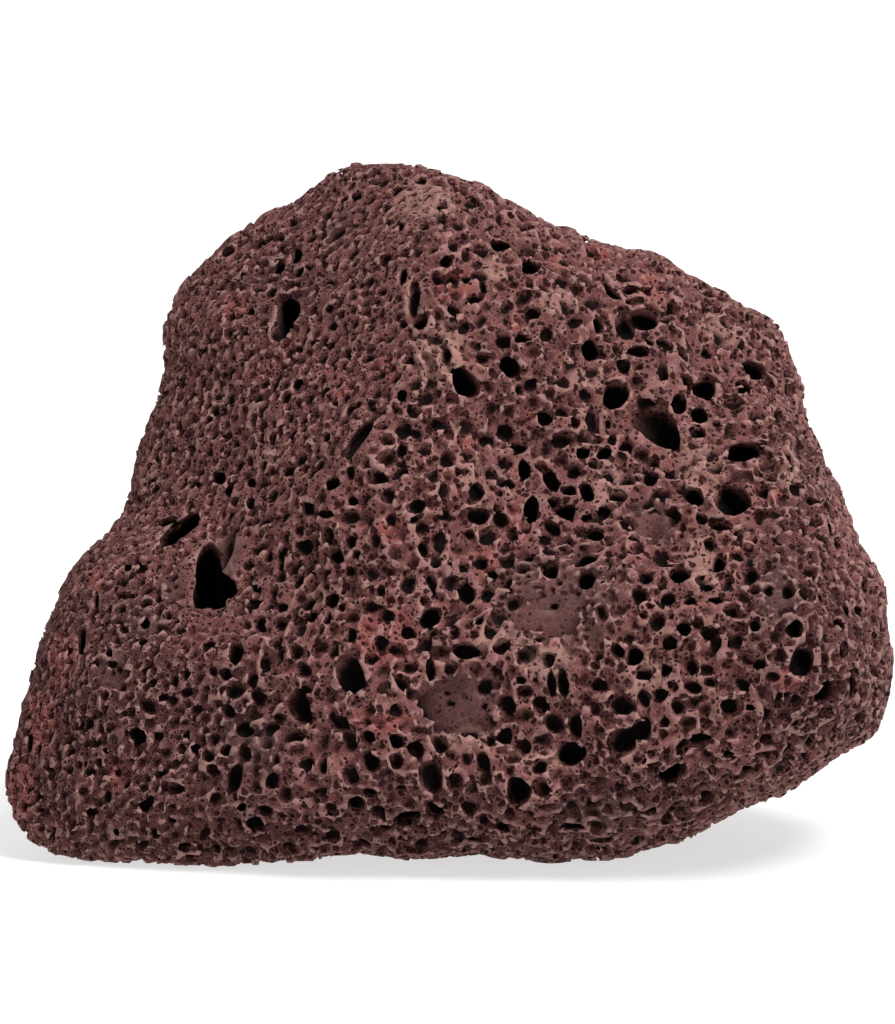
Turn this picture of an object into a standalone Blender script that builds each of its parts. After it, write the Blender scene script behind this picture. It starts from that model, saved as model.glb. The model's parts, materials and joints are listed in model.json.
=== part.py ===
"""Lava rock: one broken block of red-brown scoria, full of gas bubbles, standing on a flat facet.

The stone is one natural piece, so it is one object. Its body is drawn the way one looks at such
a stone: an outline seen from the front, broad fracture faces towards and away from the viewer,
and a rounded edge between them. It is then turned to stand on the ground, sawn level where it
rests, and the larger bubbles are cut out of it. Metres, +Z up, the broad face towards -Y.
"""

import math
import random

import bmesh
import bpy
import numpy as np
from mathutils import Matrix, Vector, noise
from mathutils.bvhtree import BVHTree
from mathutils.geometry import delaunay_2d_cdt

MM = 0.001
NAME = "lava_rock"

# Driving dimensions, in millimetres unless a name says otherwise
LENGTH = 148.5
LOOK_DOWN = math.radians(8)
FOOT_AWAY = -26.0
EDGE_ROUND_FRONT = 13.0
EDGE_ROUND_BACK = 16.0
EDGE_ROUND_FOOT = 5.0
FOOT_HIGH = 22.0
RIDGE_ROUND = 1.6
POINT_STEP = 1.7
EDGE_CLEAR = 0.8
BODY_TRIANGLES = 2600
STONE_TRIANGLES = 9500
SEED = 9

# The outline from the front: how far away each stretch lies, and its points (across, up),
# clockwise from the left end of the crown
OUTLINE = (
    (5, ((-20.5, 115.8), (-18, 116.8), (-15.5, 117.5), (-13.5, 117.5), (-12, 116.8), (-10.7, 117.5))),
    (2, ((-8, 117.7), (-4.7, 117.2), (-1.3, 116.2), (2.2, 114), (3.7, 114.2), (7.8, 112.7))),
    (5, ((12, 110.2), (16.5, 106.8), (17.5, 107.5), (20.3, 105.7), (21.5, 106), (22.7, 104.8))),
    (12, ((23.2, 104.2), (28.7, 103.3), (34.5, 102.5), (36.8, 101.7), (38.2, 100), (40.3, 98.3))),
    (15, ((43.7, 97.5), (46.3, 96.3), (47.2, 95.5), (47.7, 94.2), (50.3, 93), (53.7, 91.8))),
    (11, ((55.3, 90.8), (56.3, 89.2), (56.3, 86.7), (57.2, 85.5), (57.8, 81.2), (59, 81))),
    (10, ((59.8, 79.7), (58.8, 77.7), (59.5, 74.5), (60.5, 73.7), (62, 70.5), (61.8, 68.3))),
    (8, ((63.3, 66.8), (64.5, 63.8), (65.8, 63.7), (66.3, 62.7), (65.8, 61), (67.7, 57.5))),
    (6, ((68.2, 53.5), (71.2, 49.7), (72.8, 46.8), (73.3, 44.3), (73, 42.3), (73.3, 38.8))),
    (3, ((74.2, 36.3), (74.2, 32.3), (73.2, 29.3), (73.5, 28.5), (72.5, 26), (72.2, 22.8))),
    (0, ((70.3, 21.3), (67.8, 19.7), (64.3, 18.2), (62, 15.8), (58.7, 13.5), (55.3, 12))),
    (-8, ((49.8, 10.3), (47.8, 9), (45.3, 7.7), (40.3, 5.3), (33.7, 3))),
    (-20, ((25.3, 0.8), (21.7, 1.5), (18.7, 1.3), (16.7, 0.2), (14.5, 1.2), (8.7, 1.5))),
    (-24, ((4.2, 2.7), (1.2, 1.8), (-3.8, 1.5), (-8, 2), (-10.8, 2.8), (-11.8, 2.3), (-12.8, 3))),
    (-22, ((-19.7, 1.8), (-28, 0.8), (-36.3, 0.2), (-43, 0), (-49.7, 0.5), (-53, 1.2), (-55.5, 0.8))),
    (-19, ((-57.8, 1.5), (-60.5, 0.8), (-64.3, 1.2), (-67.2, 2.3), (-69.2, 3.7), (-70, 5.2))),
    (-12, ((-71.7, 5.8), (-73.2, 8.5), (-74.3, 11), (-74.3, 13), (-73.2, 16.5), (-73.2, 18.5))),
    (-6, ((-72.5, 21), (-71.7, 22.2), (-71, 25.3), (-70.8, 27), (-70, 27.8), (-69.5, 31))),
    (1, ((-68, 37.3), (-66.3, 42.2), (-65, 46), (-64.3, 48.2), (-63, 48.8), (-60, 53.2))),
    (6, ((-57.2, 55), (-55, 57.2), (-54, 58.8), (-53.8, 60.3), (-52.2, 61.7), (-52.8, 63.5))),
    (8, ((-52.7, 66.3), (-50.8, 71), (-48.8, 76.2), (-47.5, 81.8), (-47, 86), (-47.7, 89.8))),
    (12, ((-47, 92.3), (-45, 96.7), (-43.5, 99), (-40.3, 101.2), (-38.5, 102.8), (-37.3, 105.5))),
    (9, ((-33.8, 106.7), (-31, 108.7), (-27.2, 110.3), (-23.8, 112.2), (-21.8, 113.8))),
)

# Fracture faces: a point on each (across, up, away), and how much further away it gets for each
# millimetre across and up
BLOCK_FRONT = (
    ((-10, 60, -38), 0.34, 0.19),
    ((10, 88, -27), 0.34, 0.48),
    ((55, 50, -19), 0.80, 0.22),
    ((-1, 101, -24), -0.62, 0.46),
    ((-14, 51, -41), -0.88, 0.18),
    ((10, 12, -45), 0.20, -0.50),
)
LOBE_FRONT = (
    ((-45, 30, -32), -0.52, 0.08),
    ((-40, 25, -35), -0.22, 0.12),
    ((-50, 50, -19), -0.30, 1.10),
    ((-45, 8, -36), -0.20, -0.70),
)
BACK = (
    ((10, 42, 48), -0.12, -0.28),
    ((-38, 42, 38), 0.75, -0.12),
    ((48, 42, 36), -0.80, -0.10),
    ((0, 86, 33), 0.05, -0.75),
    ((0, 10, 45), 0.10, 1.30),
    ((-52, 15, 22), 0.90, 1.10),
)

# Relief over the whole stone: swells, then scallops whose rims meet in ridges (size, height)
SWELLS = ((30.0, 2.6), (13.0, 1.2))
SCALLOPS = ((17.0, 3.0), (8.0, 1.5))
RELIEF_FROM_EDGE = 7.0
RELIEF_FROM_GROUND = 6.0
SMOOTH_ROUNDS = 30
SMOOTH_FROM_EDGE = 1.6

# The larger bubbles of the front: across, up, wide, high, lean to the right in degrees, deep
SEEN_BUBBLES = (
    (-39.3, 47.5, 7.0, 14.0, -4, 15.0),
    (-44.5, 55.7, 3.4, 7.6, 45, 6.0),
    (-37.3, 64.7, 3.0, 2.5, 30, 3.0),
    (-26.7, 91.8, 4.0, 7.0, 5, 6.5),
    (0.5, 101.7, 3.6, 6.0, 25, 5.0),
    (8.5, 103.3, 4.2, 3.8, 0, 4.6),
    (13.5, 99.7, 3.4, 3.4, 0, 4.0),
    (18.0, 86.2, 5.0, 8.0, -15, 2.2),
    (2.8, 81.2, 5.2, 6.6, -40, 4.2),
    (10.3, 83.0, 3.4, 3.4, 0, 4.0),
    (33.0, 90.7, 4.8, 3.6, -25, 4.4),
    (29.0, 87.6, 3.2, 4.2, -25, 4.0),
    (23.5, 86.0, 3.4, 3.7, 0, 4.0),
    (28.0, 78.3, 4.2, 5.0, 0, 4.6),
    (42.8, 79.3, 4.0, 4.2, 0, 4.4),
    (41.7, 74.4, 3.2, 2.6, -15, 3.4),
    (50.8, 82.5, 3.8, 3.6, 0, 4.2),
    (35.3, 81.5, 2.8, 7.6, 5, 3.0),
    (35.0, 72.3, 6.6, 8.6, -50, 4.6),
    (48.5, 69.0, 5.4, 4.4, -35, 5.0),
    (47.8, 60.4, 5.2, 8.8, -30, 5.0),
    (41.0, 61.3, 3.4, 3.6, -20, 4.0),
    (12.5, 65.7, 2.6, 4.0, 0, 3.6),
    (17.5, 64.0, 2.8, 5.4, -35, 3.2),
    (13.8, 58.4, 3.0, 4.6, 5, 4.0),
    (19.8, 58.8, 3.3, 3.3, 0, 4.0),
    (24.7, 55.0, 3.0, 2.9, 0, 3.6),
    (1.7, 56.0, 4.8, 5.4, -30, 2.4),
    (18.7, 43.0, 20.0, 15.0, 0, 2.4),
    (-3.0, 41.3, 3.6, 3.8, 0, 4.4),
    (3.0, 35.5, 4.6, 3.0, 0, 4.0),
    (-15.5, 32.0, 5.2, 7.0, -35, 4.6),
    (-24.2, 27.3, 4.4, 3.6, -30, 4.0),
    (-35.3, 35.7, 2.8, 5.4, 0, 4.0),
    (-35.2, 14.8, 2.9, 5.2, 25, 4.2),
    (-51.5, 21.8, 3.2, 2.6, 0, 3.6),
    (-53.7, 15.0, 3.8, 3.8, 0, 2.4),
    (18.7, 30.5, 4.6, 4.8, 0, 4.4),
    (20.5, 18.7, 4.4, 4.2, 20, 4.4),
    (28.6, 20.6, 3.2, 5.4, -35, 3.6),
    (32.9, 24.3, 3.2, 3.0, 0, 4.0),
    (37.2, 15.8, 4.2, 4.4, 0, 4.4),
    (11.7, 12.8, 4.0, 4.4, 0, 4.4),
    (-6.7, 8.6, 4.4, 3.2, 0, 4.0),
    (-2.7, 14.8, 4.0, 4.6, 0, 4.0),
    (40.5, 33.5, 3.4, 3.3, 0, 3.6),
    (62.6, 29.2, 4.4, 4.8, 0, 4.4),
    (68.2, 31.0, 2.8, 5.2, -20, 3.6),
    (59.0, 36.7, 2.8, 5.6, -30, 4.0),
    (69.5, 46.0, 3.0, 4.4, -30, 3.6),
    (57.0, 46.5, 8.0, 7.0, 0, 2.4),
    (54.8, 26.2, 5.0, 5.4, -20, 1.8),
    (38.5, 48.5, 3.8, 4.0, 0, 4.0),
    (32.8, 48.0, 2.6, 3.8, 0, 3.6),
    (45.0, 51.0, 3.4, 5.8, -15, 3.2),
    (52.8, 18.8, 4.0, 3.0, 15, 3.2),
    (1.3, 25.8, 12.5, 9.5, 0, 2.0),
)

# The bubbles scattered over the sides that those leave bare: how many to try, mouth across,
# depth over mouth, and the rock kept between two mouths
SCATTER_TRIES = 3000
SCATTER_MOUTH = (2.8, 7.0)
SCATTER_DEPTH = (0.5, 0.95)
BUBBLE_GAP = 1.0
BUBBLE_SUNK = 0.25
BASE_CLEAR = 1.5
SKIN = 0.05
THICKEST_CUT = 2.5
GROUND_DEEP = 40.0
SCATTERED = 150
BIG_MOUTH = 10.0


def clear_scene():
    for old in list(bpy.data.objects):
        bpy.data.objects.remove(old, do_unlink=True)


def smooth_outline():
    """The outline as one closed ring of (across, up, away), its corners cut once."""
    ring = [(x, z, away) for away, stretch in OUTLINE for x, z in stretch]
    ring = np.array(ring, float)
    span = ring[:, 0].max() - ring[:, 0].min()
    ring[:, :2] *= LENGTH / span
    for _ in range(6):
        ring[:, 2] = (np.roll(ring[:, 2], 1) + ring[:, 2] + np.roll(ring[:, 2], -1)) / 3
    after = np.roll(ring, -1, axis=0)
    cut = np.stack([0.8 * ring + 0.2 * after, 0.2 * ring + 0.8 * after], axis=1)
    return cut.reshape(-1, 3)


def distance_to_outline(points, ring):
    """For each point, its distance to the ring, and how far away the ring lies near it."""
    start = ring[:, :2]
    along = np.roll(start, -1, axis=0) - start
    reach = points[:, None, :] - start[None]
    part = (reach * along).sum(-1) / (along**2).sum(-1)
    gap = reach - np.clip(part, 0, 1)[..., None] * along
    near = np.sqrt((gap**2).sum(-1))
    weight = 1 / (near + 0.05) ** 3
    ring_away = (weight * ring[:, 2]).sum(1) / weight.sum(1)
    return near.min(axis=1), ring_away


def inside(points, ring):
    """Whether each point lies inside the ring, by counting the edges to its right."""
    x, z = points[:, 0:1], points[:, 1:2]
    x0, z0 = ring[:, 0], ring[:, 1]
    x1, z1 = np.roll(x0, -1), np.roll(z0, -1)
    spans = (z0 > z) != (z1 > z)
    rise = np.where(z1 == z0, 1e-9, z1 - z0)
    return (spans & (x < (x1 - x0) * (z - z0) / rise + x0)).sum(1) % 2 == 1


def soft_max(levels, width):
    top = np.max(levels, axis=0)
    return top + width * np.log(sum(np.exp((level - top) / width) for level in levels))


def faces_away(faces, points):
    return [
        at[2] + across * (points[:, 0] - at[0]) + up * (points[:, 1] - at[1])
        for at, across, up in faces
    ]


def relief(at):
    """How far the surface stands out at a place: swells, less a scallop around each cell's middle."""
    swell = sum(height * noise.noise(at / size) for size, height in SWELLS)
    rims = sum(height * (noise.voronoi(at / size)[0][0] - 0.5) for size, height in SCALLOPS)
    return swell + rims


def relief_share(height, gap):
    """Full relief well away from the outline and above the ground, none at either."""
    return min(max(height, 0) / RELIEF_FROM_GROUND, 1) * min(gap / RELIEF_FROM_EDGE, 1)


def surface_away(points, ring, side):
    """How far away the front (side -1) or the back (side 1) lies at each point."""
    near, ring_away = distance_to_outline(points, ring)
    if side < 0:
        block = soft_max(faces_away(BLOCK_FRONT, points), RIDGE_ROUND)
        lobe = soft_max(faces_away(LOBE_FRONT, points), RIDGE_ROUND)
        target = -soft_max([-block, -lobe], RIDGE_ROUND)
        share = np.minimum(near / EDGE_ROUND_FRONT, 1)
    else:
        target = -soft_max([-level for level in faces_away(BACK, points)], 2 * RIDGE_ROUND)
        reach = np.interp(points[:, 1], (0, FOOT_HIGH), (EDGE_ROUND_FOOT, EDGE_ROUND_BACK))
        share = np.minimum(near / reach, 1)
    rounded = np.sqrt(1 - (1 - share) ** 2)
    return ring_away + (target - ring_away) * rounded


def plan_points(ring):
    """The outline's points, then a triangular lattice inside it with a row close to the edge."""
    low, high = ring[:, :2].min(axis=0), ring[:, :2].max(axis=0)
    rows = []
    for j, z in enumerate(np.arange(low[1], high[1], POINT_STEP * math.sqrt(3) / 2)):
        for x in np.arange(low[0] + (j % 2) * POINT_STEP / 2, high[0], POINT_STEP):
            rows.append((x, z))
    before, after = np.roll(ring, 1, axis=0), np.roll(ring, -1, axis=0)
    run = (after - before)[:, :2]
    inward = np.stack([run[:, 1], -run[:, 0]], axis=1) / np.linalg.norm(run, axis=1)[:, None]
    rows = np.concatenate([np.array(rows), ring[:, :2] + inward * EDGE_CLEAR * 1.1])
    rows = rows[inside(rows, ring)]
    near, _ = distance_to_outline(rows, ring)
    return rows[near > EDGE_CLEAR]


def standing(across, up, away):
    """A point as seen from the front, turned to where it lies on the standing stone."""
    beyond = away - FOOT_AWAY
    return (
        across,
        beyond * math.cos(LOOK_DOWN) + up * math.sin(LOOK_DOWN),
        up * math.cos(LOOK_DOWN) - beyond * math.sin(LOOK_DOWN),
    )


def body_mesh(ring):
    """The unbroken body: front and back surfaces that share the outline."""
    lattice = plan_points(ring)
    flat = [Vector(p) for p in ring[:, :2]] + [Vector(p) for p in lattice]
    plan, _, triangles, *_ = delaunay_2d_cdt(flat, [], [list(range(len(ring)))], 1, 1e-5)
    plan = np.array([tuple(p) for p in plan])
    near, ring_away = distance_to_outline(plan, ring)
    on_ring = near < 1e-3
    front = np.where(on_ring, ring_away, surface_away(plan, ring, -1))
    back = np.where(on_ring, ring_away, surface_away(plan, ring, 1))
    shape = bmesh.new()
    fronts = [shape.verts.new(standing(x, z, away)) for (x, z), away in zip(plan, front)]
    backs = [
        fronts[i] if on_ring[i] else shape.verts.new(standing(*plan[i], back[i]))
        for i in range(len(plan))
    ]
    for corners in triangles:
        if all(on_ring[i] for i in corners):
            continue
        shape.faces.new([fronts[i] for i in corners])
        shape.faces.new([backs[i] for i in reversed(corners)])
    free = {}
    for corner, gap in zip(fronts + backs, np.concatenate([near, near])):
        if gap > SMOOTH_FROM_EDGE:
            free[corner] = gap
    loose = [v for v in shape.verts if not v.link_faces]
    bmesh.ops.delete(shape, geom=loose, context="VERTS")
    bmesh.ops.recalc_face_normals(shape, faces=shape.faces)
    for _ in range(SMOOTH_ROUNDS):
        bmesh.ops.smooth_vert(
            shape, verts=list(free), factor=0.5, use_axis_x=True, use_axis_y=True, use_axis_z=True
        )
    shape.normal_update()
    outs = {v: v.normal * relief(v.co) * relief_share(v.co.z, gap) for v, gap in free.items()}
    for v, out in outs.items():
        v.co += out
    return shape


def coarsened(shape):
    """The body with as few triangles as keep its ridges, by a Decimate modifier."""
    mesh = bpy.data.meshes.new("body")
    shape.to_mesh(mesh)
    fine = bpy.data.objects.new("body", mesh)
    bpy.context.collection.objects.link(fine)
    fewer = fine.modifiers.new("fewer", "DECIMATE")
    fewer.ratio = BODY_TRIANGLES / len(mesh.polygons)
    bpy.context.view_layer.update()
    result = fine.evaluated_get(bpy.context.evaluated_depsgraph_get()).to_mesh()
    shape.clear()
    shape.from_mesh(result)
    bpy.data.objects.remove(fine, do_unlink=True)


def centre(shape):
    """Moves the stone so that the middle of its box, above the ground, is over the origin."""
    places = np.array([v.co for v in shape.verts if v.co.z > 0])
    middle = (places.max(axis=0) + places.min(axis=0)) / 2
    shift = Vector((-middle[0], -middle[1], 0))
    bmesh.ops.translate(shape, vec=shift, verts=shape.verts)
    return shift


def bubble(at, inward, upright, wide, high, lean, deep):
    """An ellipsoid that leaves a hollow with the mouth wide by high and the depth asked for."""
    depth_radius = deep * (1 - BUBBLE_SUNK)
    mouth = math.sqrt(1 - (BUBBLE_SUNK / (1 - BUBBLE_SUNK)) ** 2)
    side = upright.cross(inward).normalized()
    level = inward.cross(side).normalized()
    axes = Matrix((side, level, inward)).transposed().to_4x4()
    scale = Matrix.Diagonal((wide / 2 / mouth, high / 2 / mouth, depth_radius, 1))
    turn = Matrix.Rotation(math.radians(lean), 4, "Z")
    centre = at + inward * (deep * BUBBLE_SUNK)
    return Matrix.Translation(centre) @ axes @ turn @ scale


def rock_behind(tree, at, inward):
    """How much rock there is behind a point of the surface, straight in."""
    *_, reach = tree.ray_cast(at + inward * SKIN, inward)
    return reach or 0.0


def seen_bubbles(tree, shift):
    """The bubbles read from the front, each set where its line of sight meets the stone."""
    sight = Vector((0, math.cos(LOOK_DOWN), -math.sin(LOOK_DOWN)))
    upright = Vector((0, math.sin(LOOK_DOWN), math.cos(LOOK_DOWN)))
    placed = []
    for across, up, wide, high, lean, deep in SEEN_BUBBLES:
        start = Vector(standing(across, up, -200)) + shift
        at, normal, _, _ = tree.ray_cast(start, sight)
        inward = (sight - normal).normalized()
        reach = max(wide, high) / 2
        placed.append((at, reach, bubble(at, inward, upright, wide, high, lean, deep), wide))
    return placed


def scattered_bubbles(shape, tree, placed):
    """Seeded bubbles over the rest of the stone, none touching another or the base."""
    dice = random.Random(SEED)
    corners = [[v.co.copy() for v in face.verts] for face in shape.faces]
    areas = [face.calc_area() for face in shape.faces]
    added = []
    for _ in range(SCATTER_TRIES):
        a, b, c = dice.choices(corners, areas)[0]
        s, t = sorted((dice.random(), dice.random()))
        at = a * s + b * (t - s) + c * (1 - t)
        mouth = SCATTER_MOUTH[0] + (SCATTER_MOUTH[1] - SCATTER_MOUTH[0]) * dice.random() ** 1.7
        deep = mouth * dice.uniform(*SCATTER_DEPTH)
        stretch = dice.uniform(0.75, 1.3)
        lean = dice.uniform(-90, 90)
        reach = mouth * max(stretch, 1) / 2
        _, normal, _, _ = tree.find_nearest(at)
        low = at.z - reach < BASE_CLEAR
        thin = rock_behind(tree, at, -normal) < THICKEST_CUT * deep
        crowded = any((at - o).length < reach + r + BUBBLE_GAP for o, r, *_ in placed + added)
        if low or thin or crowded or len(added) == SCATTERED:
            continue
        upright = Vector((0, 0, 1)) if abs(normal.z) < 0.9 else Vector((0, 1, 0))
        added.append((at, reach, bubble(at, -normal, upright, mouth, mouth * stretch, lean, deep), mouth))
    return added


def guide(name, shape):
    """A helper object for a cut, left out of the stone itself."""
    mesh = bpy.data.meshes.new(name)
    shape.to_mesh(mesh)
    shape.free()
    mesh.transform(Matrix.Scale(MM, 4))
    helper = bpy.data.objects.new(name, mesh)
    helper.hide_render = True
    helper.display_type = "WIRE"
    bpy.context.collection.objects.link(helper)
    return helper


def spheres(bubbles):
    shape = bmesh.new()
    for _, _, matrix, mouth in bubbles:
        rounds = 3 if mouth > BIG_MOUTH else 2
        bmesh.ops.create_icosphere(shape, subdivisions=rounds, radius=1, matrix=matrix)
    return shape


def ground():
    """A slab whose top is the ground, wider than the stone."""
    shape = bmesh.new()
    size = (2 * LENGTH, 2 * LENGTH, GROUND_DEEP)
    middle = Matrix.Translation((0, 0, -GROUND_DEEP / 2))
    bmesh.ops.create_cube(shape, size=1, matrix=middle @ Matrix.Diagonal((*size, 1)))
    return shape


def cut(stone, helper):
    modifier = stone.modifiers.new(helper.name, "BOOLEAN")
    modifier.operation = "DIFFERENCE"
    modifier.object = helper
    modifier.use_self = True


def triangle_count(stone):
    bpy.context.view_layer.update()
    mesh = stone.evaluated_get(bpy.context.evaluated_depsgraph_get()).data
    mesh.calc_loop_triangles()
    return len(mesh.loop_triangles)


def scoria():
    """Red-brown scoria: dull, dark, not metallic."""
    material = bpy.data.materials.new("scoria")
    material.use_nodes = True
    surface = material.node_tree.nodes["Principled BSDF"]
    surface.inputs["Base Color"].default_value = (0.19, 0.10, 0.095, 1)
    surface.inputs["Roughness"].default_value = 0.92
    surface.inputs["Metallic"].default_value = 0.0
    return material


def main():
    clear_scene()
    shape = body_mesh(smooth_outline())
    coarsened(shape)
    shift = centre(shape)
    tree = BVHTree.FromBMesh(shape)
    seen = seen_bubbles(tree, shift)
    bubbles = seen + scattered_bubbles(shape, tree, seen)
    mesh = bpy.data.meshes.new(NAME)
    shape.to_mesh(mesh)
    shape.free()
    mesh.transform(Matrix.Scale(MM, 4))
    mesh.materials.append(scoria())
    stone = bpy.data.objects.new(NAME, mesh)
    bpy.context.collection.objects.link(stone)
    cut(stone, guide("bubbles", spheres(bubbles)))
    fewer = stone.modifiers.new("fewer", "DECIMATE")
    fewer.ratio = STONE_TRIANGLES / triangle_count(stone)
    cut(stone, guide("ground", ground()))


main()
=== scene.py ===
# %% [markdown]
# # A lump of lava rock
#
# Scoria is basalt that froze while it was full of gas. What one sees is a broken face of stiff
# foam: round holes of every size, thin walls between them that catch the light, and black where
# a hole runs deep. Paint on a smooth stone can't give that, because the holes shade themselves.
# So this lesson carves the holes for real, in a solid made of tiny cubes of space, and leaves to
# the material what is too fine to carve, and the painted shade in holes, dents and a few patches.

# %% Load the stone
import json
import math

import bpy
import numpy as np
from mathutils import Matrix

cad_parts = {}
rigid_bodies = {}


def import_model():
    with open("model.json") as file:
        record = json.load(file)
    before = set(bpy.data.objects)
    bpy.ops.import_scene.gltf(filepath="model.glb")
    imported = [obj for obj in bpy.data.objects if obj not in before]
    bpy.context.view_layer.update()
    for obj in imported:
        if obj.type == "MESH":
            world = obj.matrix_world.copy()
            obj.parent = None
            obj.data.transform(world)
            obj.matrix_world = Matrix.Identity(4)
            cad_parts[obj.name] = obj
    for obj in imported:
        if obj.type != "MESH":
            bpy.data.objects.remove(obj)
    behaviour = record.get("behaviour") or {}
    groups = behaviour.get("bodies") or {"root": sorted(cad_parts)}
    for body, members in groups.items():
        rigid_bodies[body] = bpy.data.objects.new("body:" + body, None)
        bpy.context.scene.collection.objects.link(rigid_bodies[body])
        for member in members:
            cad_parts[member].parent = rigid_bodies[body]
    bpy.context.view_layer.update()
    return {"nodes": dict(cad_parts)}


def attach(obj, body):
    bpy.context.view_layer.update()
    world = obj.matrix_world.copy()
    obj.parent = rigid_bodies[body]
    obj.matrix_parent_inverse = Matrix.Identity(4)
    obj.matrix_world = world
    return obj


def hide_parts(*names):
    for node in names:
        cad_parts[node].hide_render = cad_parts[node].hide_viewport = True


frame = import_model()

import openvdb
from mathutils import Matrix, Vector, kdtree
from mathutils.bvhtree import BVHTree

NODE = "lava_rock"
MM = 0.001
stone = frame["nodes"][NODE]

# %% [markdown]
# ## Where the photographer stood
#
# The stone fills the picture from side to side and shows no strong perspective, so the camera is
# far off with a long lens, and it looks down a little. One millimetre of stone is six pixels of
# the photograph. With the camera in place, each pixel becomes a line of sight into the scene, and
# a hole that is read from the picture can be put where that line meets the stone.

# %% The camera
PHOTO = (895, 1024)
PIXELS_PER_MM = 6.0
LOOK_DOWN = math.radians(8)
CAMERA_FAR = 2400.0
AIM = Vector((0.05, 2.90, 54.81))
SENSOR = 36.0

SIGHT = Vector((0, math.cos(LOOK_DOWN), -math.sin(LOOK_DOWN)))
UPWARD = Vector((0, math.sin(LOOK_DOWN), math.cos(LOOK_DOWN)))
RIGHT = Vector((1, 0, 0))
EYE = AIM - SIGHT * CAMERA_FAR

camera = bpy.data.objects.new("camera", bpy.data.cameras.new("camera"))
bpy.context.scene.collection.objects.link(camera)
camera.location = EYE * MM
camera.rotation_euler = (math.pi / 2 - LOOK_DOWN, 0, 0)
camera.data.sensor_width = SENSOR
camera.data.lens = SENSOR * PIXELS_PER_MM * CAMERA_FAR / max(PHOTO)
camera.data.clip_start = 0.1
camera.data.clip_end = 20
bpy.context.scene.camera = camera
print("Lens", round(camera.data.lens), "mm at", CAMERA_FAR * MM, "m")


# %% A pixel's line of sight
def line_of_sight(column, row):
    """The direction from the eye through a pixel of the photograph."""
    focal = PIXELS_PER_MM * CAMERA_FAR
    across = (column - PHOTO[0] / 2) / focal
    up = (PHOTO[1] / 2 - row) / focal
    return (SIGHT + RIGHT * across + UPWARD * up).normalized()


def pixel_of(points):
    """The photograph's columns and rows where points, in millimetres, are seen."""
    reach = points - np.array(EYE)
    far = reach @ np.array(SIGHT)
    focal = PIXELS_PER_MM * CAMERA_FAR
    columns = PHOTO[0] / 2 + reach @ np.array(RIGHT) * focal / far
    rows = PHOTO[1] / 2 - reach @ np.array(UPWARD) * focal / far
    return columns, rows


CROWN = np.array([[0.0, 0.0, 100.0]])
print("A point 100 mm up is seen at", [round(float(values[0])) for values in pixel_of(CROWN)])

# %% [markdown]
# ## The unbroken body
#
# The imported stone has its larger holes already, with few flat faces. They are closed first, so
# that finer ones can take their places: the surface is moved out by a few millimetres, which
# fills whatever is narrower than that, and then back in. A level set does this well. It stores,
# for each point of a grid, the distance to the surface, so moving the surface is an addition.

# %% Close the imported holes
BODY_STEP = 0.8
CLOSE = 5.0
BAND = 16


def level_set(points, triangles=None, quads=None):
    """The distance to a closed surface, in millimetres, on a grid of BODY_STEP."""
    return openvdb.FloatGrid.createLevelSetFromPolygons(
        points,
        triangles=triangles,
        quads=quads,
        transform=openvdb.createLinearTransform(voxelSize=BODY_STEP),
        halfWidth=BAND,
    )


def arrays_of(obj):
    """A mesh's points in millimetres and its triangles."""
    mesh = obj.data
    mesh.calc_loop_triangles()
    points = np.empty(len(mesh.vertices) * 3, np.float32)
    mesh.vertices.foreach_get("co", points)
    corners = np.empty(len(mesh.loop_triangles) * 3, np.int32)
    mesh.loop_triangles.foreach_get("vertices", corners)
    return points.reshape(-1, 3) / MM, corners.reshape(-1, 3).astype(np.uint32)


points, triangles = arrays_of(stone)
swollen = level_set(points, triangles=triangles).convertToPolygons(isovalue=CLOSE)
closed = level_set(swollen[0], quads=swollen[2])
print("Closed body:", len(swollen[2]), "quads on the way")

# %% Copy it to a block of numbers
MARGIN = 4.0
low = np.floor((points.min(axis=0) - MARGIN) / BODY_STEP).astype(int)
high = np.ceil((points.max(axis=0) + MARGIN) / BODY_STEP).astype(int) + 1
body = np.zeros(tuple(high - low), np.float32)
closed.copyToArray(body, ijk=tuple(int(v) for v in low))
body += CLOSE
ORIGIN = low * BODY_STEP
print("Coarse block", body.shape, "from", ORIGIN.round(1))


# %% Soften the facets
def blurred(field, reach, rounds):
    """The mean over a cube that reaches so many steps each way, taken again and again."""
    for _ in range(rounds):
        for axis in range(3):
            padded = np.concatenate(
                [np.take(field, [0] * (reach + 1), axis), field, np.take(field, [-1] * reach, axis)], axis
            )
            total = np.cumsum(padded, axis=axis, dtype=np.float64)
            count = field.shape[axis]
            ends = np.take(total, np.arange(2 * reach + 1, 2 * reach + 1 + count), axis)
            starts = np.take(total, np.arange(count), axis)
            field = ((ends - starts) / (2 * reach + 1)).astype(np.float32)
    return field


body = blurred(body, 1, 5)
print("Softened over about", round(BODY_STEP * math.sqrt(5 * 2 / 3), 1), "mm")

# %% [markdown]
# ## A finer block, with crumbly relief
#
# The holes need steps of less than half a millimetre. The body is smooth, so it is only stretched
# onto the finer grid, and a little lattice noise is added: random numbers far apart, with a smooth
# curve between them. It makes the skin uneven before anything is cut. Foam eats into the outline,
# most at the crown, where the eye looks along the skin, so the skin is first lifted by up to half
# a millimetre there. At the foot, where the outline has to meet the ground, it is lifted less.

# %% The fine block
STEP = 0.40
SEED = 2718
dice = np.random.default_rng(SEED)
fine_shape = tuple(int((n - 2) * BODY_STEP / STEP) for n in body.shape)


def stretched(field, steps, smooth):
    """The field read at finer places along each axis, straight or eased between its values."""
    for axis, (count, step) in enumerate(zip(fine_shape, steps)):
        at = np.arange(count) * step
        before = np.floor(at).astype(int)
        part = (at - before).astype(np.float32)
        if smooth:
            part = part * part * (3 - 2 * part)
        part = part.reshape([-1 if a == axis else 1 for a in range(3)])
        start = np.take(field, before, axis)
        field = start + (np.take(field, before + 1, axis) - start) * part
    return field


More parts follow.
